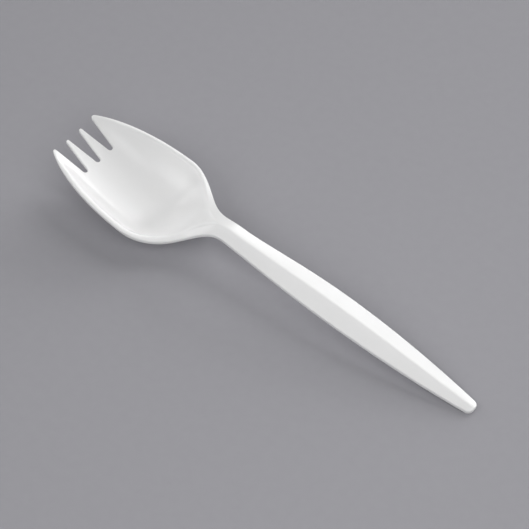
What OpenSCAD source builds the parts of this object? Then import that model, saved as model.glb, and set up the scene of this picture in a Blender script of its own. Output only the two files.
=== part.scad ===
// One-piece moulded plastic spork: a spoon bowl whose front edge is cut into four tines,
// a waisted neck that rises out of the bowl, and a slim handle folded to a shallow gable.
// The tines point to -X and the handle's end to +X. The spork lies as it does on a table,
// on the underside of its bowl and the lower edge of its handle's end, both at z = 0.
// Every size whose name ends in _at is measured along the length, from the tine tips.

/* [Overall] */
// Length from the tine tips to the handle's end
spork_length = 146; // [135:1:180]
// Radius on every moulded edge
edge_r = 0.4; // [0.2:0.05:0.5]

/* [Tines] */
// Number of tines
tine_count = 4; // [3:1:5]
// Distance between the middles of neighbouring tines
tine_pitch = 5.7; // [4.5:0.05:6]
// Width of a tine just behind its rounded tip
tine_tip_w = 1; // [0.7:0.05:1.6]
// Length of a tine's rounded tip
tine_tip_round = 0.55; // [0.3:0.05:1]
// Length of the slots between the tines
slot_length = 9.9; // [6:0.1:14]
// Width of a slot at its rounded root
slot_root_w = 1.8; // [1.2:0.1:2.6]
// Height of the outer tines' tips
outer_tip_z = 14.4; // [12:0.1:18]
// Height of the spork's middle line at the tine tips
inner_tip_z = 13.4; // [10:0.1:15]

/* [Bowl] */
// Widest part of the bowl
bowl_w = 33.6; // [28:0.1:40]
// Place of the bowl's widest and deepest part
bowl_widest_at = 32; // [27:0.5:35]
// Height of the rim at the bowl's widest part
rim_side_z = 9; // [7.5:0.1:11]
// Place where the rim runs lowest, on the shoulders
rim_low_at = 42.8; // [39:0.1:46]
// Height of the rim where it runs lowest
rim_low_z = 7; // [5:0.1:8]
// Length over which the bowl's wall rolls over to its rim
rim_roll = 1.6; // [0.6:0.1:2.4]
// Place where the bowl's hollow runs out, ahead of the neck
hollow_end_at = 51; // [48:0.5:54]
// Thickness of the bowl and the tines
bowl_wall = 1.05; // [0.8:0.05:1.8]

/* [Neck] */
// Place of the neck, the narrowest part
neck_at = 58.5; // [54:0.5:64]
// Width of the neck
neck_w = 7.3; // [5.5:0.1:9]
// Height of the neck's edges
neck_z = 12.9; // [10:0.1:15]
// Height of the ridge over the edges at the neck
neck_ridge = 1.1; // [0.5:0.1:2]

/* [Handle] */
// Length from the neck to where the handle's straight slope begins
neck_run = 6.5; // [4:0.5:12]
// Height of the handle's edges where that slope begins
slope_z = 12; // [9:0.1:14]
// Place of the handle's widest part
handle_widest_at = 98; // [88:0.5:110]
// Widest part of the handle
handle_w = 10.7; // [8:0.1:14]
// Height of the handle's edges at its widest part
handle_z = 8.3; // [5:0.1:10]
// Height of the ridge over the edges at the handle's widest part
handle_ridge = 1.4; // [0.6:0.1:2.4]
// Half width of the ridge's soft crest
ridge_crest = 0.55; // [0.3:0.05:1]
// Width of the handle's end before its corners are rounded
end_w = 4; // [3:0.1:6]
// Height of the ridge over the edges at the handle's end
end_ridge = 0.6; // [0.2:0.1:1.2]
// Length over which the corners of the handle's end are rounded
end_round = 1.7; // [0.8:0.1:2.2]
// Thickness of the handle
handle_wall = 1.15; // [0.9:0.05:2]

/* [Hidden] */

// How sharply the bowl's section turns up towards the rim
section_power = 3.4;
// How much of the bowl's length its floor takes to turn up towards the straight tines
floor_share = 0.38;
// How much of the shoulders' curve has the rounder of two plain blends
shoulder_share = 0.3;
// How much of the handle's swelling length has a soft start
swell_share = 0.38;
// Width of a rounded tip, and of the rounded end, at the foremost point, as a share of the full width
tip_blunt_share = 0.45;
end_blunt_share = 0.15;
// Largest part of a strip's width, and of a wall, that one rounded edge may take
inset_limit_share = 0.28;
round_limit_share = 0.42;
// Length over which the surface's slope is taken, as a share of the edges' radius
step_share = 0.125;
// A rounded edge in two steps: how far in from the edge, and how far below the surface
round_in_shares = [0, 1 - cos(45), 1];
round_drop_shares = [1, 1 - sin(45), 0];
// Columns of a strip's flat part, between its two rounded edges
flat_columns = 4;
// Numbers of stations along each stretch of the spork
tip_stations = 3;
tine_stations = 5;
root_stations = 4;
bowl_front_stations = 11;
bowl_back_stations = 13;
handle_stations = 15;
end_stations = 4;

slot_root_r = slot_root_w / 2;
slot_mouth_r = (tine_pitch - tine_tip_w) / 2;
tips_w = (tine_count - 1) * tine_pitch + tine_tip_w;
bowl_front_reach = bowl_widest_at / sqrt(1 - pow(tips_w / bowl_w, 2));
slope_at = neck_at + neck_run;
end_z = handle_wall;
slope_step = edge_r * step_share;

// Plain blends, for t from 0 to 1. A soft rise runs ever straighter, after a start of the given share
function clamp01(t) = min(max(t, 0), 1);
function mix(a, b, t) = a + (b - a) * t;
function smooth(t) = t * t * (3 - 2 * t);
function smoother(t) = t * t * t * (t * (6 * t - 15) + 10);
function shoulder(t) = mix(smooth(t), smoother(t), shoulder_share);
function quarter_round(t) = sqrt(1 - pow(1 - clamp01(t), 2));
function level_off(t) = t * (2 - t);
function blunt(t, share) = mix(share, 1, quarter_round(t));
function soft_rise(t, share) = (sqrt(t * t + share * share) - share) / (sqrt(1 + share * share) - share);
function swell(t) = level_off(soft_rise(t, swell_share));

// A smooth curve through rows of [place, height] that never overshoots them
function steepness(rows, n) = (rows[n + 1][1] - rows[n][1]) / (rows[n + 1][0] - rows[n][0]);
function tangent(rows, n) =
    n == 0 ? steepness(rows, 0)
    : n == len(rows) - 1 ? steepness(rows, n - 1)
    : steepness(rows, n - 1) * steepness(rows, n) <= 0 ? 0
    : 2 / (1 / steepness(rows, n - 1) + 1 / steepness(rows, n));
function curve(rows, u, n = 0) =
    n < len(rows) - 2 && u > rows[n + 1][0] ? curve(rows, u, n + 1)
    : let (span = rows[n + 1][0] - rows[n][0], t = (u - rows[n][0]) / span)
        mix(rows[n][1], rows[n + 1][1], smooth(t))
        + span * t * (1 - t) * (tangent(rows, n) * (1 - t) - tangent(rows, n + 1) * t);

// Half width of the outline: an ellipse to the bowl's widest part, the shoulders, a swelling handle
function half_width(u) =
    u < bowl_widest_at ? bowl_w / 2 * sqrt(1 - pow((bowl_widest_at - u) / bowl_front_reach, 2))
    : u < neck_at ? mix(bowl_w, neck_w, shoulder((u - bowl_widest_at) / (neck_at - bowl_widest_at))) / 2
    : u < handle_widest_at ? mix(neck_w, handle_w, swell((u - neck_at) / (handle_widest_at - neck_at))) / 2
    : mix(handle_w, end_w, pow((u - handle_widest_at) / (spork_length - handle_widest_at), 2)) / 2;

// Height of the edges, from the tine tips round the bowl's rim and along the handle
edge_rows = [
    [0, outer_tip_z],
    [bowl_widest_at, rim_side_z],
    [rim_low_at, rim_low_z],
    [neck_at, neck_z],
    [slope_at, slope_z],
    [handle_widest_at, handle_z],
    [spork_length, end_z]
];
ridge_rows = [[neck_at, neck_ridge], [handle_widest_at, handle_ridge], [spork_length, end_ridge]];

// How far the bowl's form has changed into the handle's: over the shoulders, and from the low rim
function to_neck(u, from) = smooth(clamp01((u - from) / (neck_at - from)));

// The land: a gable from the ridge down to the edges, which fans out from the neck over the shoulders
function ridge_z(u) =
    u < neck_at ? neck_ridge * half_width(u) / (neck_w / 2) * to_neck(u, bowl_widest_at)
    : curve(ridge_rows, u);
function gable(v, u) = 1 - soft_rise(abs(v) / half_width(u), ridge_crest / half_width(u));
function land_z(u, v) = curve(edge_rows, u) + ridge_z(u) * gable(v, u);

// Height of the middle line: down the tines to the bowl's floor, up the hollow's back, along the ridge
function hollow_back(u) = smooth(clamp01((u - bowl_widest_at) / (hollow_end_at - bowl_widest_at)));
function middle_z(u) =
    u < bowl_widest_at
    ? mix(bowl_wall, inner_tip_z, soft_rise((bowl_widest_at - u) / bowl_widest_at, floor_share))
    : mix(bowl_wall, land_z(u, 0), hollow_back(u));

// The hollow: as wide as the bowl at first, then with a growing land on each side of it
function hollow_half(u) = max(half_width(u) - neck_w / 2 * to_neck(u, bowl_widest_at), ridge_crest);
function dish(s, half) = pow(1 - soft_rise(1 - s, rim_roll / half), section_power);
function bowl_z(u, v) =
    let (half = hollow_half(u))
    mix(middle_z(u), land_z(u, v), dish(min(abs(v) / half, 1), half));

// The upper face, and the lower face one wall below it, measured square to the surface
function top_z(u, v) = u < neck_at ? bowl_z(u, v) : land_z(u, v);
function wall(u) = mix(bowl_wall, handle_wall, to_neck(u, rim_low_at));
function slant(u, v) =
    let (along = (top_z(u + slope_step, v) - top_z(u, v)) / slope_step)
    let (across = (top_z(u, abs(v)) - top_z(u, abs(v) - slope_step)) / slope_step)
    sqrt(1 + along * along + across * across);
function bottom_z(u, v) = top_z(u, v) - wall(u) * slant(u, v);

// Half width of the slots, which narrow from their mouths to their rounded roots
function slot_half(u) =
    let (straight = slot_length - slot_root_r)
    u < straight ? mix(slot_mouth_r, slot_root_r, u / straight)
    : u < slot_length ? sqrt(max(0, pow(slot_root_r, 2) - pow(u - straight, 2)))
    : 0;
// Middle line of slot i, which behind its root follows the outline
function slot_middle(i, u) = (i - tine_count / 2) * tine_pitch
    * (u < slot_length ? 1 : half_width(u) / half_width(slot_length));

// The two edges of strip i, one of the side-by-side strips that each start as a tine
function end_trim(u) = blunt((spork_length - u) / end_round, end_blunt_share);
function strip_left(i, u) = i == 0 ? -half_width(u) : slot_middle(i, u) + slot_half(u);
function strip_right(i, u) = i == tine_count - 1 ? half_width(u) : slot_middle(i + 1, u) - slot_half(u);
function strip_edges(i, u) =
    let (middle = (strip_left(i, u) + strip_right(i, u)) / 2)
    let (half = (strip_right(i, u) - strip_left(i, u)) / 2 * blunt(u / tine_tip_round, tip_blunt_share))
    [middle - half, middle + half] * end_trim(u);

// Stations along the length, closer together where an edge turns
function stretch(from, to, steps) = [for (n = [0 : steps - 1]) mix(from, to, n / steps)];
function turn(from, to, steps) = [for (n = [0 : steps - 1]) mix(from, to, 1 - cos(90 * n / steps))];
function turn_end(from, to, steps) = [for (n = [0 : steps - 1]) mix(from, to, sin(90 * n / steps))];
front_stations = concat(
    turn(0, tine_tip_round, tip_stations),
    stretch(tine_tip_round, slot_length - slot_root_r, tine_stations),
    turn_end(slot_length - slot_root_r, slot_length, root_stations)
);
stations = concat(
    front_stations,
    turn(slot_length, slot_length + edge_r, len(round_in_shares) - 1),
    stretch(slot_length + edge_r, bowl_widest_at, bowl_front_stations),
    stretch(bowl_widest_at, neck_at, bowl_back_stations),
    stretch(neck_at, spork_length - end_round, handle_stations),
    turn_end(spork_length - end_round, spork_length, end_stations),
    [spork_length]
);
root_station = len(front_stations);
last_station = len(stations) - 1;

// Columns across a strip: the rounding of one edge, the flat part, the rounding of the other
round_columns = len(round_in_shares);
strip_columns = 2 * round_columns + flat_columns;
last_column = strip_columns - 1;
function from_edge(j) = min(j, last_column - j);
function edge_inset(edges) = min(edge_r, (edges[1] - edges[0]) * inset_limit_share);
function column_v(edges, j) =
    let (inset = edge_inset(edges))
    j < round_columns ? edges[0] + inset * round_in_shares[j]
    : from_edge(j) < round_columns ? edges[1] - inset * round_in_shares[from_edge(j)]
    : mix(edges[0] + inset, edges[1] - inset, (j - round_columns + 1) / (flat_columns + 1));

// How far the rounding takes a point below the surface: at the outline, along the slots as far as
// their roots, where it runs out, and at the tine tips and the handle's end
function round_r(u) = min(edge_r, wall(u) * round_limit_share);
function on_outline(i, j) =
    (i == 0 && j < round_columns) || (i == tine_count - 1 && j > last_column - round_columns);
function slot_fade(u) = 1 - quarter_round((u - slot_length) / edge_r);
function side_drop(i, j, u) =
    from_edge(j) >= round_columns ? 0
    : round_drop_shares[from_edge(j)] * (on_outline(i, j) ? 1 : slot_fade(u));
function end_drop(u) = 1 - quarter_round(min(u, spork_length - u) / edge_r);
function edge_drop(i, j, u) = round_r(u) * max(side_drop(i, j, u), end_drop(u));

// Points of the upper or the lower face, station by station, strip by strip
function face_points(is_upper) = [
    for (u = stations)
    for (i = [0 : tine_count - 1])
    let (edges = strip_edges(i, u))
    for (j = [0 : last_column])
    let (v = column_v(edges, j))
    let (drop = edge_drop(i, j, u))
    [u - spork_length / 2, v, is_upper ? top_z(u, v) - drop : bottom_z(u, v) + drop]
];
face_size = len(stations) * tine_count * strip_columns;
// Place in the list of the point at station k, strip i and column j of each face.
// Neighbouring strips share the points of their common edge behind the slot's root.
function upper(k, i, j) =
    i > 0 && j == 0 && k >= root_station ? upper(k, i - 1, last_column)
    : (k * tine_count + i) * strip_columns + j;
function lower(k, i, j) = upper(k, i, j) + face_size;

// Two triangles for four corners given in order, cut along mirrored diagonals on the two sides
function quad(a, b, c, d, mirrored) = mirrored ? [[a, b, d], [b, c, d]] : [[a, b, c], [a, c, d]];
function on_far_side(i, j) = i * strip_columns + j < tine_count * strip_columns / 2;
skin_faces = [
    for (k = [0 : last_station - 1])
    for (i = [0 : tine_count - 1])
    for (j = [0 : last_column - 1])
    let (mirrored = on_far_side(i, j))
    each concat(
        quad(upper(k, i, j), upper(k, i, j + 1), upper(k + 1, i, j + 1), upper(k + 1, i, j), mirrored),
        quad(lower(k + 1, i, j), lower(k + 1, i, j + 1), lower(k, i, j + 1), lower(k, i, j), mirrored)
    )
];
// Walls along the outline, and along the slots as far as their roots
function side_wall(k, i, j, mirrored) =
    quad(upper(k, i, j), upper(k + 1, i, j), lower(k + 1, i, j), lower(k, i, j), mirrored);
function turned(triangles) = [for (t = triangles) [t[2], t[1], t[0]]];
wall_faces = [
    for (k = [0 : last_station - 1])
    for (i = [0 : tine_count - 1])
    each concat(
        i == 0 || k < root_station ? side_wall(k, i, 0, true) : [],
        i == tine_count - 1 || k < root_station ? turned(side_wall(k, i, last_column, true)) : []
    )
];
// Small flats at the tine tips and at the handle's end
function end_wall(k, i, j) =
    quad(upper(k, i, j), upper(k, i, j + 1), lower(k, i, j + 1), lower(k, i, j), on_far_side(i, j));
end_faces = [
    for (i = [0 : tine_count - 1])
    for (j = [0 : last_column - 1])
    each concat(turned(end_wall(0, i, j)), end_wall(last_station, i, j))
];

module spork() {
    color("white")
        polyhedron(
            points = concat(face_points(true), face_points(false)),
            faces = concat(skin_faces, wall_faces, end_faces)
        );
}

spork();
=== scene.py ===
# %% [markdown]
# A disposable spork is one piece of white plastic, shot into a polished steel mould and pushed out
# while it is still warm. It has no screw, hinge or cover. All its character is in one flowing surface:
# a dished bowl cut into four tines, a waisted neck, and a slim handle folded to a shallow gable.
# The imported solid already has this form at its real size, in facets. This lesson lays a far finer skin
# over the same form, gives it the satin finish of moulded plastic, and lights it on a plain grey sweep.

import bpy
import numpy as np
from mathutils import Matrix, Vector


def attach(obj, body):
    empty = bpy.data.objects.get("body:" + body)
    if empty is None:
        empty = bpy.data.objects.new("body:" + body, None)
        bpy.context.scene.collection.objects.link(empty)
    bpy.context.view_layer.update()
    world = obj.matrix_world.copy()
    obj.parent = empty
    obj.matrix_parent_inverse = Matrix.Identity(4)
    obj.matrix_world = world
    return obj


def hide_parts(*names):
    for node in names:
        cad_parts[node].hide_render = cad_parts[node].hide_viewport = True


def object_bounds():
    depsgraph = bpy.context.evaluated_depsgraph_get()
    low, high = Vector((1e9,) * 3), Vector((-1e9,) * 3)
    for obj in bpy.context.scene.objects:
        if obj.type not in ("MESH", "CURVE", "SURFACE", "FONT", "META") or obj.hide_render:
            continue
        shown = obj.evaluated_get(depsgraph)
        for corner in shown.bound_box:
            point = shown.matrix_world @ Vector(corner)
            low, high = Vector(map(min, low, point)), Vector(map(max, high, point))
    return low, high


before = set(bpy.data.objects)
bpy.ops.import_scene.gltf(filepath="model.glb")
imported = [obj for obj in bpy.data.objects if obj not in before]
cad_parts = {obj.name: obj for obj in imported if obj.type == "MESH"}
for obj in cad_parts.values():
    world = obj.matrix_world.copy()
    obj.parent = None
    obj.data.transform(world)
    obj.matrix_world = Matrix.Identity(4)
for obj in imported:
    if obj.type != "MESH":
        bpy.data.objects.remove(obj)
cad_low, cad_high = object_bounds()
mm = 0.001


def in_mm(low, high):
    """The six sides of a box in millimetres, rounded."""
    return [round(side / mm, 2) for side in (*low, *high)]


print("frame:", sorted(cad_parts), "box in mm:", in_mm(cad_low, cad_high))

# %% [markdown]
# The form hangs on a few sizes that a gauge could check on the real spork. The length and the bowl's
# width come straight from the solid's box, and the rest are written here in millimetres and kept in
# metres, as Blender wants them. Places along the length are measured from the tine tips and end in _at,
# and heights are over the table.

# %% Sizes of the spork
spork_length = cad_high.x - cad_low.x
bowl_w = cad_high.y - cad_low.y
tips_x = cad_low.x
edge_r = 0.28 * mm

tine_count = 4
tine_pitch = 5.7 * mm
tine_tip_w = 1 * mm
tine_tip_round = 0.55 * mm
slot_length = 9.9 * mm
slot_root_r = 0.9 * mm
outer_tip_z = 14.4 * mm
inner_tip_z = 13.4 * mm

bowl_widest_at = 32 * mm
rim_side_z = 9 * mm
rim_low_at = 42.8 * mm
rim_low_z = 7 * mm
rim_roll = 0.6 * mm
lip_w = 1.05 * mm
lip_crown = 0.14 * mm
bowl_wall = 1.05 * mm

hollow_end_at = 51 * mm
neck_at = 58.5 * mm
neck_w = 7.3 * mm
neck_z = 12.9 * mm
neck_ridge = 1.1 * mm

slope_at = neck_at + 6.5 * mm
slope_z = 12 * mm
handle_widest_at = 98 * mm
handle_w = 10.7 * mm
handle_z = 8.3 * mm
handle_ridge = 1.4 * mm
ridge_crest = 0.55 * mm
handle_wall = 1.15 * mm
end_w = 4 * mm
end_ridge = 0.6 * mm
end_round = 1.7 * mm

tips_w = (tine_count - 1) * tine_pitch + tine_tip_w
slot_mouth_r = (tine_pitch - tine_tip_w) / 2
slot_straight = slot_length - slot_root_r
print(f"spork {spork_length / mm:.1f} mm long, bowl {bowl_w / mm:.1f} mm wide")
print(f"tips {tips_w / mm:.2f} mm across, slots {2 * slot_mouth_r / mm:.2f} mm wide at the mouth")

# %% [markdown]
# Every curve of the spork is one of a few plain blends. A toolmaker would sweep them with templates: an
# ease that leaves and arrives level, a quarter of a circle, and a rise that starts softly and then runs
# straight. Splines through many points could do the same, but a short formula has no ripples and can be
# read.


# %% Plain blends
def mix(a, b, t):
    """Straight blend: a where t is 0, b where t is 1."""
    return a + (b - a) * t


def share(u, start, end):
    """How far u has gone from start to end, held between 0 and 1."""
    return np.clip((u - start) / (end - start), 0, 1)


def smooth(t):
    """Ease that is level at both ends: three t squared less two t cubed."""
    return t * t * (3 - 2 * t)


def smoother(t):
    """Ease whose bend also fades out at both ends, of the fifth power."""
    return t ** 3 * (t * (6 * t - 15) + 10)


def quarter_round(t):
    """Height of a quarter circle of radius 1 above its foot, t of the way in."""
    return np.sqrt(1 - (1 - np.clip(t, 0, 1)) ** 2)


def level_off(t):
    """A rise that starts straight and arrives level: half of a parabola."""
    return t * (2 - t)


def soft_rise(t, start):
    """A hyperbola from 0 to 1: level at t = 0 and ever straighter past the share called start."""
    return (np.hypot(t, start) - start) / (np.hypot(1, start) - start)


def curve(rows, u):
    """Smooth curve through rows of (place, height) with no overshoot: cubics between the rows, whose
    slope at each row is the harmonic mean of the slopes on its two sides, or level where those differ
    in sign."""
    places, heights = np.array(rows).T
    slopes = np.diff(heights) / np.diff(places)
    before, after = slopes[:-1], slopes[1:]
    same_way = before * after > 0
    means = np.where(same_way, 2 * before * after / np.where(same_way, before + after, 1), 0)
    tangents = np.concatenate([slopes[:1], means, slopes[-1:]])
    n = np.clip(np.searchsorted(places, u) - 1, 0, len(slopes) - 1)
    span = places[n + 1] - places[n]
    t = (u - places[n]) / span
    bulge = span * t * (1 - t) * (tangents[n] * (1 - t) - tangents[n + 1] * t)
    return mix(heights[n], heights[n + 1], smooth(t)) + bulge


quarters = np.linspace(0, 1, 5)
print("eases at quarters:", np.round(smooth(quarters), 3), np.round(smoother(quarters), 3))

# %% [markdown]
# Seen from above, the bowl's front is part of an ellipse. The shoulders ease from the widest part into
# the neck, and the handle swells and then tapers to its blunt end like a leaf. One half width for each
# place along the length says it all, because the spork is the same on both sides.

# %% Outline seen from above
shoulder_share = 0.3
swell_share = 0.38
front_reach = bowl_widest_at / np.sqrt(1 - (tips_w / bowl_w) ** 2)


def half_width(u):
    """Half width of the outline: an ellipse, an ease to the neck, a rise that levels off, a parabola."""
    front = bowl_w * np.sqrt(1 - (np.clip(bowl_widest_at - u, 0, None) / front_reach) ** 2)
    t = share(u, bowl_widest_at, neck_at)
    shoulders = mix(bowl_w, neck_w, mix(smooth(t), smoother(t), shoulder_share))
    along_handle = share(u, neck_at, handle_widest_at)
    swell = mix(neck_w, handle_w, level_off(soft_rise(along_handle, swell_share)))
    taper = mix(handle_w, end_w, share(u, handle_widest_at, spork_length) ** 2)
    parts = [u < bowl_widest_at, u < neck_at, u < handle_widest_at]
    return np.select(parts, [front, shoulders, swell], taper) / 2


sample = np.array([0, bowl_widest_at, neck_at, handle_widest_at, spork_length])
print("widths in mm:", np.round(2 * half_width(sample) / mm, 2))

# %% [markdown]
# From the side there are two lines to follow. One is the edge: it drops from the tine tips along the
# rim, runs lowest on the shoulders, climbs to the neck and slopes down to the handle's end. The other is
# the middle line: down the tines to the bowl's floor, up the neck, and along the handle's ridge.
# On the handle the section is a gable with a soft crest, which stiffens a thin strip as a fold stiffens
# paper. At the neck the gable fans out into a land on each shoulder, which narrows to a crowned lip
# round the bowl, so that a mouth meets no edge. The bowl is a hollow sunk between the two lands, with
# walls that roll over into them. A blend of two sections could join bowl and handle too, but it would
# twist between them, and with a land and a hollow each keeps its own form.

# %% Upper face
section_power = 3.4
floor_share = 0.38
edge_rows = [
    (0, outer_tip_z),
    (bowl_widest_at, rim_side_z),
    (rim_low_at, rim_low_z),
    (neck_at, neck_z),
    (slope_at, slope_z),
    (handle_widest_at, handle_z),
    (spork_length, handle_wall),
]
ridge_rows = [(neck_at, neck_ridge), (handle_widest_at, handle_ridge), (spork_length, end_ridge)]


def lip_share(u):
    """How much of the rim's lip there is: it grows over the tines and fades over the shoulders."""
    return smooth(share(u, 0, slot_length)) * (1 - smooth(share(u, bowl_widest_at, neck_at)))


def land_z(u, v):
    """Height of the land: a gable from the ridge to the edges, which fans out from the neck and fades
    over the shoulders, and round the bowl the crown of the lip, half of a parabola from the edge."""
    half = half_width(u)
    fan = neck_ridge * half / (neck_w / 2) * smooth(share(u, bowl_widest_at, neck_at))
    ridge = np.where(u < neck_at, fan, curve(ridge_rows, np.maximum(u, neck_at)))
    crown = lip_crown * lip_share(u) * level_off(np.clip((half - np.abs(v)) / lip_w, 0, 1))
    return curve(edge_rows, u) + crown + ridge * (1 - soft_rise(np.abs(v) / half, ridge_crest / half))


def middle_z(u):
    """Height of the middle line: a soft rise from the floor to the tips, an ease to the land behind."""
    ahead = np.clip(bowl_widest_at - u, 0, None) / bowl_widest_at
    front = mix(bowl_wall, inner_tip_z, soft_rise(ahead, floor_share))
    behind = mix(bowl_wall, land_z(u, 0), smooth(share(u, bowl_widest_at, hollow_end_at)))
    return np.where(u < bowl_widest_at, front, behind)


def hollow_half(u):
    """Half the width of the hollow: the bowl's less the lip, and behind the widest part less a land on
    each side, which eases to half the neck."""
    land = neck_w / 2 * smooth(share(u, bowl_widest_at, neck_at)) + lip_w * lip_share(u)
    return np.maximum(half_width(u) - land, ridge_crest)


def top_z(u, v):
    """Height of the upper face: from the middle line to the land, by a power of the share across the
    hollow, with a soft rise taken back from the rim."""
    half = np.where(u < neck_at, hollow_half(u), ridge_crest)
    s = np.minimum(np.abs(v) / half, 1)
    dish = (1 - soft_rise(1 - s, rim_roll / half)) ** section_power
    return mix(middle_z(u), land_z(u, v), dish)


print("middle line in mm:", np.round(middle_z(sample) / mm, 2))
print("edge in mm:", np.round(curve(edge_rows, sample) / mm, 2))

# %% [markdown]
# The underside follows the upper face one wall below it, because plastic of one thickness cools evenly
# and does not warp. The wall is measured square to the surface, so where the surface leans the two faces
# lie further apart in height: by the root of one plus the slopes squared. A Solidify modifier could do
# this too, but the rounded edges need the height of both faces.

# %% Lower face
slope_step = 0.05 * mm


def wall(u):
    """Thickness: the bowl's, easing to the handle's between the low rim and the neck."""
    return mix(bowl_wall, handle_wall, smooth(share(u, rim_low_at, neck_at)))


def bottom_z(u, v):
    """Height of the lower face: one wall below the upper one, square to it."""
    along = (top_z(u + slope_step, v) - top_z(u, v)) / slope_step
    across = (top_z(u, np.abs(v)) - top_z(u, np.abs(v) - slope_step)) / slope_step
    return top_z(u, v) - wall(u) * np.sqrt(1 + along ** 2 + across ** 2)


print("wall in mm:", np.round(wall(sample) / mm, 2))

# %% [markdown]
# The slots narrow from their mouths to round roots, which is what leaves the tines pointed. The skin is
# laid in four strips side by side, one behind each tine. Ahead of the roots a slot parts two strips, and
# behind them the strips share an edge, so the whole bowl closes without a seam. Cutting slots into a
# whole bowl is the other way, but it leaves ragged faces round the roots.
# A strip is a grid: stations along the length, drawn close together where an edge turns, and columns
# across it, drawn close together at its two edges.


# %% Strips of the skin
def run(start, end, count, drawn_to=None):
    """Count places from start up to, not with, end: even, or drawn to one end as points on an arc."""
    t = np.arange(count) / count
    turn = t * np.pi / 2
    return mix(start, end, {None: t, "start": 1 - np.cos(turn), "end": np.sin(turn)}[drawn_to])


root_behind = slot_length + 2 * edge_r
# Each row: from, up to, how many stations and, where they crowd together, at which end.
stations = np.concatenate([
    run(0, tine_tip_round, 8, "start"),
    run(tine_tip_round, slot_straight, 28),
    run(slot_straight, slot_length, 14, "end"),
    run(slot_length, root_behind, 10, "start"),
    run(root_behind, bowl_widest_at, 56),
    run(bowl_widest_at, neck_at, 66),
    run(neck_at, spork_length - end_round, 130),
    run(spork_length - end_round, spork_length, 14, "end"),
    [spork_length],
])
root_station = int(np.searchsorted(stations, slot_length))
tip_blunt_share = 0.45
end_blunt_share = 0.15


def blunt(t, flat_share):
    """Width share of a rounded tip: a quarter circle that starts from a small flat."""
    return mix(flat_share, 1, quarter_round(t))


def slot_half(u):
    """Half width of a slot: a straight taper, then half a circle at the root, then nothing."""
    taper = mix(slot_mouth_r, slot_root_r, share(u, 0, slot_straight))
    root = np.sqrt(np.clip(slot_root_r ** 2 - (u - slot_straight) ** 2, 0, None))
    return np.where(u < slot_straight, taper, np.where(u < slot_length, root, 0))


def slot_middle(n, u):
    """Middle line of slot n: straight, and behind the root drawn in or out with the outline."""
    spread = np.where(u < slot_length, 1, half_width(u) / half_width(np.array(slot_length)))
    return (n - tine_count / 2) * tine_pitch * spread


tine = np.arange(tine_count)
along_u = stations[:, None]
outline = half_width(along_u)
left = np.where(tine == 0, -outline, slot_middle(tine, along_u) + slot_half(along_u))
right = np.where(tine == tine_count - 1, outline, slot_middle(tine + 1, along_u) - slot_half(along_u))
tip_trim = blunt(along_u / tine_tip_round, tip_blunt_share)
end_trim = blunt((spork_length - along_u) / end_round, end_blunt_share)
strip_low = mix((left + right) / 2, left, tip_trim) * end_trim
strip_high = mix((left + right) / 2, right, tip_trim) * end_trim
print(f"{len(stations)} stations, of which the slots take {root_station}")

# %% [markdown]
# No moulded edge is sharp: a mould cannot be filled into a knife edge, and a mouth would not like one.
# The edges here are rounded by how far each point lies from the outline, a slot, a tip or the end. At
# the edge itself the face is lowered by the edge's radius, and a radius further in it is not lowered at
# all, with a quarter circle in between. On a narrow tine or a thin wall the radius is held to a share of
# what is there. Bevelling the finished mesh is the other way, but it pinches in the slots' roots.

# %% Rounded edges
round_steps = 6
flat_columns = 14
inset_limit_share = 0.45
round_limit_share = 0.42
round_insets = 1 - np.cos(np.linspace(0, np.pi / 2, round_steps + 1))


def strip_columns(low, high):
    """Places across each strip: round the low edge, eased over the flat part, round the high edge."""
    inset = np.minimum(edge_r, (high - low) * inset_limit_share)[..., None]
    low, high = low[..., None], high[..., None]
    flat = smooth(np.arange(1, flat_columns + 1) / (flat_columns + 1))
    return np.concatenate([
        low + inset * round_insets,
        mix(low + inset, high - inset, flat),
        high - inset * round_insets[::-1],
    ], axis=-1)


def edge_distance(u, v, low, high):
    """Least distance, seen from above, to the strip's two edges, the slots' round roots and the two
    ends. To an edge it is the distance across, less as the edge slants. To a root it is taken from the
    root's circle."""
    def to_edge(edge, gap):
        return gap / np.sqrt(1 + np.gradient(edge, stations, axis=0) ** 2)[..., None]

    def to_root(n):
        middle = slot_middle(n, stations[:, None])[..., None]
        return np.hypot(u - slot_straight, v - middle) - slot_root_r

    to_low = to_edge(low, v - low[..., None])
    to_high = to_edge(high, high[..., None] - v)
    inner_low, inner_high = (tine > 0)[:, None], (tine < tine_count - 1)[:, None]
    beside = u < slot_straight
    root_low, root_high = to_root(tine), to_root(tine + 1)
    slot_low = np.where(beside, np.minimum(to_low, root_low), root_low)
    slot_high = np.where(beside, np.minimum(to_high, root_high), root_high)
    to_low = np.where(inner_low, slot_low, to_low)
    to_high = np.where(inner_high, slot_high, to_high)
    to_ends = np.minimum(u, spork_length - u)
    return np.clip(np.minimum(np.minimum(to_low, to_high), to_ends), 0, None)


v = strip_columns(strip_low, strip_high)
u = np.broadcast_to(stations[:, None, None], v.shape)
distance = edge_distance(u, v, strip_low, strip_high)
radius = np.minimum(edge_r, wall(u) * round_limit_share)
drop = radius * (1 - quarter_round(distance / radius))
print(f"grid of {v.shape} points, lowered at the edges by up to {drop.max() / mm:.2f} mm")

# %% [markdown]
# Two halves of a mould meet half way down the edge all round the spork, and leave a hairline there that
# a thumbnail can feel. So the narrow wall between the two faces has a few rows of its own, drawn in by a
# few hundredths of a millimetre except along that line.
# The faces, the walls and the small flats at the tips and the end are all grids. Points that fall on the
# same spot are welded into one, which closes the skin, and a count of faces along every edge proves it.

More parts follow.
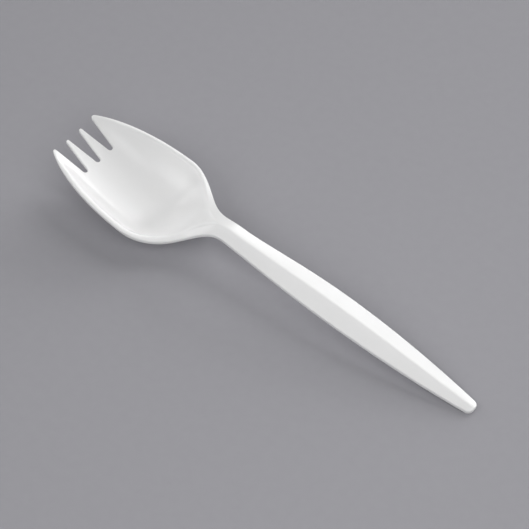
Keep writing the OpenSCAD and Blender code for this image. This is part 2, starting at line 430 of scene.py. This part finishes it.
# %% Walls and weld
wear_reach = 1.5 * mm
parting_depth = 0.03 * mm
wall_rows = np.array([0, 0.25, 0.42, 0.5, 0.58, 0.75, 1])
wall_draws = np.array([0, 1, 1, 0, 1, 1, 0])
fade_points = 6
weld_step = 0.0001 * mm
wear = 1 - np.clip(distance / wear_reach, 0, 1)
upper = np.stack([tips_x + u, v, top_z(u, v) - drop, wear], axis=-1)
lower = np.stack([tips_x + u, v, bottom_z(u, v) + drop, wear], axis=-1)


def wall_between(low_line, high_line, inward):
    """Grid from one line of points to another, drawn in along inward except on the parting line."""
    straight = mix(low_line[:, None], high_line[:, None], wall_rows[:, None])
    straight[..., :2] += parting_depth * wall_draws[:, None] * inward[:, None]
    return straight


def inward_of(line, side):
    """Direction square to a line seen from above, to its left where side is 1; it fades at the ends."""
    run_x, run_y = np.gradient(line[:, 0]), np.gradient(line[:, 1])
    fade_in = quarter_round(np.arange(len(line)) / fade_points)
    square = np.stack([-run_y, run_x], axis=-1) / np.hypot(run_x, run_y)[:, None]
    return side * square * (fade_in * fade_in[::-1])[:, None]


def skin_grids():
    """Every grid of the skin, turned so that rows crossed with columns point outwards."""
    still = np.zeros((upper.shape[2], 2))
    for n in tine:
        yield upper[:, n]
        yield lower[:, n, ::-1]
        low_end = len(stations) if n == 0 else root_station + 1
        high_end = len(stations) if n == tine_count - 1 else root_station + 1
        low_top, low_foot = upper[:low_end, n, 0], lower[:low_end, n, 0]
        high_top, high_foot = upper[:high_end, n, -1], lower[:high_end, n, -1]
        yield wall_between(low_foot, low_top, inward_of(low_top, 1))
        yield wall_between(high_top, high_foot, inward_of(high_top, -1))
        yield wall_between(lower[0, n], upper[0, n], still).swapaxes(0, 1)
        yield wall_between(upper[-1, n], lower[-1, n], still).swapaxes(0, 1)


def weld(grids):
    """Points and four-cornered faces of all grids, with the points that coincide made one."""
    points, faces, start = [], [], 0
    for grid in grids:
        ids = start + np.arange(grid.shape[0] * grid.shape[1]).reshape(grid.shape[:2])
        corners = [ids[:-1, :-1], ids[1:, :-1], ids[1:, 1:], ids[:-1, 1:]]
        points.append(grid.reshape(-1, grid.shape[2]))
        faces.append(np.stack(corners, axis=-1).reshape(-1, 4))
        start += ids.size
    points = np.concatenate(points)
    spots = np.round(points[:, :3] / weld_step).astype(np.int64)
    _, first, which = np.unique(spots, axis=0, return_index=True, return_inverse=True)
    return points[first], which.reshape(-1)[np.concatenate(faces)]


points, faces = weld(skin_grids())
sides = np.sort(np.stack([faces, np.roll(faces, -1, axis=1)], axis=-1).reshape(-1, 2), axis=1)
faces_per_side = np.unique(np.unique(sides, axis=0, return_counts=True)[1])
print(f"{len(points)} points, {len(faces)} faces, faces along each side of a face: {faces_per_side}")

# %% [markdown]
# The points and faces go into a mesh in one call each, which is far quicker than adding them one by one.
# Each point also carries how near to an edge it lies, as an attribute that the material can read: the
# edges are what hands and the other pieces in the box rub on.


# %% Moulding
def new_piece(name, points, faces):
    """A mesh object at the origin, shaded smooth."""
    mesh = bpy.data.meshes.new(name)
    mesh.vertices.add(len(points))
    mesh.vertices.foreach_set("co", points[:, :3].astype(np.float32).ravel())
    mesh.loops.add(faces.size)
    mesh.loops.foreach_set("vertex_index", faces.astype(np.int32).ravel())
    mesh.polygons.add(len(faces))
    mesh.polygons.foreach_set("loop_start", np.arange(0, faces.size, faces.shape[1], dtype=np.int32))
    mesh.polygons.foreach_set("use_smooth", np.ones(len(faces), dtype=bool))
    mesh.update(calc_edges=True)
    piece = bpy.data.objects.new(name, mesh)
    bpy.context.scene.collection.objects.link(piece)
    return piece


moulding = new_piece("spork_moulding", points, faces)
edge_wear = moulding.data.attributes.new("edge_wear", "FLOAT", "POINT")
edge_wear.data.foreach_set("value", points[:, 3].astype(np.float32))
print("moulding is a valid mesh:", not moulding.data.validate())

# %% [markdown]
# A material is a small graph of nodes, and sums read better than boxes and wires. The class below wraps
# one output of a node, so that plus, minus and times write the Math nodes, and one method adds any other
# node.


# %% Shader sums
class Wire:
    """One output in a material's graph. Sums on wires add Math nodes to the graph."""

    def __init__(self, tree, socket):
        self.tree = tree
        self.socket = socket

    def node(self, kind, settings, sockets, output=0):
        """A new node of this kind: its settings first, then the values or wires of its sockets."""
        made = self.tree.nodes.new("ShaderNode" + kind)
        for name, value in settings.items():
            setattr(made, name, value)
        for name, value in sockets.items():
            if isinstance(value, Wire):
                self.tree.links.new(value.socket, made.inputs[name])
            else:
                made.inputs[name].default_value = value
        return Wire(self.tree, made.outputs[output])

    def sum(self, operation, first, second):
        """A Math node on two numbers or wires."""
        return self.node("Math", {"operation": operation}, {0: first, 1: second})

    def __add__(self, other):
        return self.sum("ADD", self, other)

    def __sub__(self, other):
        return self.sum("SUBTRACT", self, other)

    def __rsub__(self, other):
        return self.sum("SUBTRACT", other, self)

    def __mul__(self, other):
        return self.sum("MULTIPLY", self, other)

    __radd__ = __add__
    __rmul__ = __mul__

    def noise(self, size, detail=2.0):
        """Soft random values from 0 to 1 over this place, with spots of about this size in metres."""
        return self.node("TexNoise", {}, {"Vector": self, "Scale": 1 / size, "Detail": detail})

    def mask(self, low, high):
        """0 below low, 1 above high, eased between."""
        limits = {"Value": self, "From Min": low, "From Max": high}
        return self.node("MapRange", {"interpolation_type": "SMOOTHSTEP"}, limits)

    def blend(self, first, second):
        """Colour that goes from first to second as this value goes from 0 to 1. A Mix node has a set of
        sockets for each type of data, so those for colours go by number."""
        return self.node("Mix", {"data_type": "RGBA"}, {0: self, 6: first, 7: second}, 2)


def new_material(name):
    """A material with its shader, and the wire of the Object coordinates that its patterns read."""
    material = bpy.data.materials.new(name)
    material.use_nodes = True
    tree = material.node_tree
    shader = tree.nodes["Principled BSDF"]
    place = Wire(tree, tree.nodes.new("ShaderNodeTexCoord").outputs["Object"])
    return material, shader, place


def feed(shader, name, wire):
    """Leads a wire into one of the shader's sockets."""
    wire.tree.links.new(wire.socket, shader.inputs[name])


# %% [markdown]
# White cutlery plastic is satin: it carries a soft clear highlight, and light goes a little way into it,
# which is why shadows on it look milky. Its colour is almost even, with faint clouds where the melt
# flowed. The polish of the steel gives the gloss, duller where the piece has rubbed on its neighbours in
# the box and brighter on the handled edges. Hairline rubs run along it, and a shallow ripple stays from
# the cooling. A plain colour with one roughness would look like paint, so each of these gets its own
# noise, kept so faint that it shows only in a highlight.

# %% White plastic
warm_white = (0.86, 0.86, 0.857, 1)
cool_white = (0.88, 0.88, 0.882, 1)
cloud_size = 11 * mm
handling_size = 4 * mm
handling_detail = 4.0
rub_length = 16 * mm
rub_width = 0.3 * mm
rub_limits = (0.62, 0.72)
ripple_size = 2.4 * mm
grain_size = 0.3 * mm
smooth_detail = 1.0
moulded_rough = 0.19
handled_rough = 0.06
rubbed_rough = 0.04
edge_polish = 0.03
ripple_h = 0.0016 * mm
grain_h = 0.0003 * mm
rub_depth = 0.0002 * mm
plastic_ior = 1.49
milky_share = 0.3
milky_depth = 1.2 * mm

white_material, white_shader, place = new_material("white_plastic")
stretch = {"Vector": place, "Scale": (1 / rub_length, 1 / rub_width, 1 / rub_width)}
along_rubs = place.node("Mapping", {}, stretch)
rubs = place.node("TexNoise", {}, {"Vector": along_rubs, "Scale": 1.0}).mask(*rub_limits)
handling = place.noise(handling_size, handling_detail)
worn = place.node("Attribute", {"attribute_name": "edge_wear"}, {}, "Fac")
feed(white_shader, "Base Color", place.noise(cloud_size).blend(warm_white, cool_white))
dulled = moulded_rough + handled_rough * handling + rubbed_rough * rubs
feed(white_shader, "Roughness", dulled - edge_polish * worn)
ripple = place.noise(ripple_size, smooth_detail)
grain = place.noise(grain_size, smooth_detail)
relief = ripple * ripple_h + grain * grain_h - rubs * rub_depth
feed(white_shader, "Normal", relief.node("Bump", {}, {"Height": relief, "Distance": 1.0}))
white_shader.inputs["IOR"].default_value = plastic_ior
white_shader.inputs["Subsurface Weight"].default_value = milky_share
white_shader.inputs["Subsurface Radius"].default_value = (1, 1, 1)
white_shader.inputs["Subsurface Scale"].default_value = milky_depth
moulding.data.materials.append(white_material)
print("white plastic:", len(white_material.node_tree.nodes), "nodes")

# %% [markdown]
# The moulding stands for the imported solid, so the solid is hidden and the moulding moves as it does.

# %% Hand over to the frame
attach(moulding, "root")
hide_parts("spork")
print("the moulding is dressed in:", moulding.data.materials[0].name)

# %% [markdown]
# The sweep is a sheet of grey paper on a table. It is matt, a little violet, and uneven by a hair, as
# paper is. One large square is enough, because the camera looks down on it and sees no horizon.

# %% Sweep
sweep_half = 3.0
dark_paper = (0.325, 0.321, 0.345, 1)
light_paper = (0.345, 0.341, 0.365, 1)
paper_spot = 3 * mm
paper_detail = 5.0
paper_rough = 0.9
paper_shine = 0.2
sweep_corners = np.array([[-1, -1, 0], [1, -1, 0], [1, 1, 0], [-1, 1, 0]]) * sweep_half
sweep = new_piece("sweep", sweep_corners, np.array([[0, 1, 2, 3]]))
sweep_material, sweep_shader, sweep_place = new_material("grey_paper")
paper_tone = sweep_place.noise(paper_spot, paper_detail)
feed(sweep_shader, "Base Color", paper_tone.blend(dark_paper, light_paper))
sweep_shader.inputs["Roughness"].default_value = paper_rough
sweep_shader.inputs["Specular IOR Level"].default_value = paper_shine
sweep.data.materials.append(sweep_material)
print(f"sweep {2 * sweep_half:.0f} m square")

# %% [markdown]
# A wide softbox stands low behind the spork. It brightens the far side of the handle and draws the
# streak along the bowl's near wall. A second one, higher up, lights the crowned lip and casts the soft
# shadows. A gridded lamp to the right of the camera lights the far wall of the bowl, and two weak lamps
# near and left keep the shadows open. One large lamp overhead would be simpler, but it would leave the
# two sides of the handle alike and hide the ridge.
# A lamp of level 1 lights a white card that faces it to exactly white: pi squared watts at one metre.

# %% Soft studio light
aim = Vector((0, 0, 6 * mm))
room_level = 0.03


def softbox(name, azimuth, elevation, away, width, height, level, spread=180):
    """A rectangular lamp, seen from the spork at this azimuth from +X and this elevation, facing the
    spork. A grid on its front holds its light within the spread, in degrees."""
    a, e = np.radians(azimuth), np.radians(elevation)
    towards = Vector((np.cos(a) * np.cos(e), np.sin(a) * np.cos(e), np.sin(e)))
    lamp = bpy.data.lights.new(name, "AREA")
    lamp.shape = "RECTANGLE"
    lamp.size, lamp.size_y = width, height
    lamp.energy = level * np.pi ** 2 * away ** 2
    lamp.spread = np.radians(spread)
    holder = bpy.data.objects.new(name, lamp)
    holder.location = aim + towards * away
    holder.rotation_euler = towards.to_track_quat("Z", "Y").to_euler()
    holder.visible_camera = False
    bpy.context.scene.collection.objects.link(holder)


# Each row: azimuth, elevation, metres away, width, height, level and, with a grid, its spread.
softbox("back_softbox", 84, 16, 1.2, 1.1, 0.5, 0.6)
softbox("high_softbox", 90, 46, 1.2, 0.8, 0.6, 0.31)
softbox("front_softbox", -28, 48, 0.45, 0.5, 0.35, 0.195, 90)
softbox("near_softbox", -122, 36, 1.1, 0.9, 0.7, 0.13, 110)
softbox("left_softbox", 180, 19, 1.2, 1.1, 0.5, 0.24)
room = bpy.data.worlds.new("room")
room.use_nodes = True
room_light = room.node_tree.nodes["Background"]
room_light.inputs["Color"].default_value = (1, 1, 1, 1)
room_light.inputs["Strength"].default_value = room_level
bpy.context.scene.world = room
bpy.context.scene.view_settings.view_transform = "Standard"
print("lamps in watts:", {lamp.name: round(lamp.energy, 2) for lamp in bpy.data.lights})

# %% [markdown]
# The camera stands where the photographer did. Its height and turn, and how large the spork appears,
# come from matching the outline. The middle of the handle's end lies at a known pixel and a known scale,
# and from there the camera is one step back along the line of sight. Placing it by eye would take many
# tries.

# %% Camera
image_side = 529
focal_px = 2200
end_px = Vector((474.5, 411.5))
scale_px_per_m = 3627
camera_azimuth = np.radians(38.28)
camera_elevation = np.radians(51.5)
sensor_mm = 36
ahead = Vector((
    -np.sin(camera_azimuth) * np.cos(camera_elevation),
    np.cos(camera_azimuth) * np.cos(camera_elevation),
    -np.sin(camera_elevation),
))
rightward = Vector((np.cos(camera_azimuth), np.sin(camera_azimuth), 0))
upward = rightward.cross(ahead)
offset_px = end_px - Vector((image_side / 2, image_side / 2))
sight = ahead + rightward * offset_px.x / focal_px - upward * offset_px.y / focal_px
camera_data = bpy.data.cameras.new("camera")
camera_data.sensor_width = sensor_mm
camera_data.lens = sensor_mm * focal_px / image_side
camera = bpy.data.objects.new("camera", camera_data)
camera.matrix_world = Matrix.Translation(
    Vector((cad_high.x, 0, 0)) - sight * focal_px / scale_px_per_m
) @ Matrix((rightward, upward, -ahead)).transposed().to_4x4()
bpy.context.scene.collection.objects.link(camera)
bpy.context.scene.camera = camera
print(f"camera {camera.location.length:.3f} m away, lens {camera_data.lens:.1f} mm")
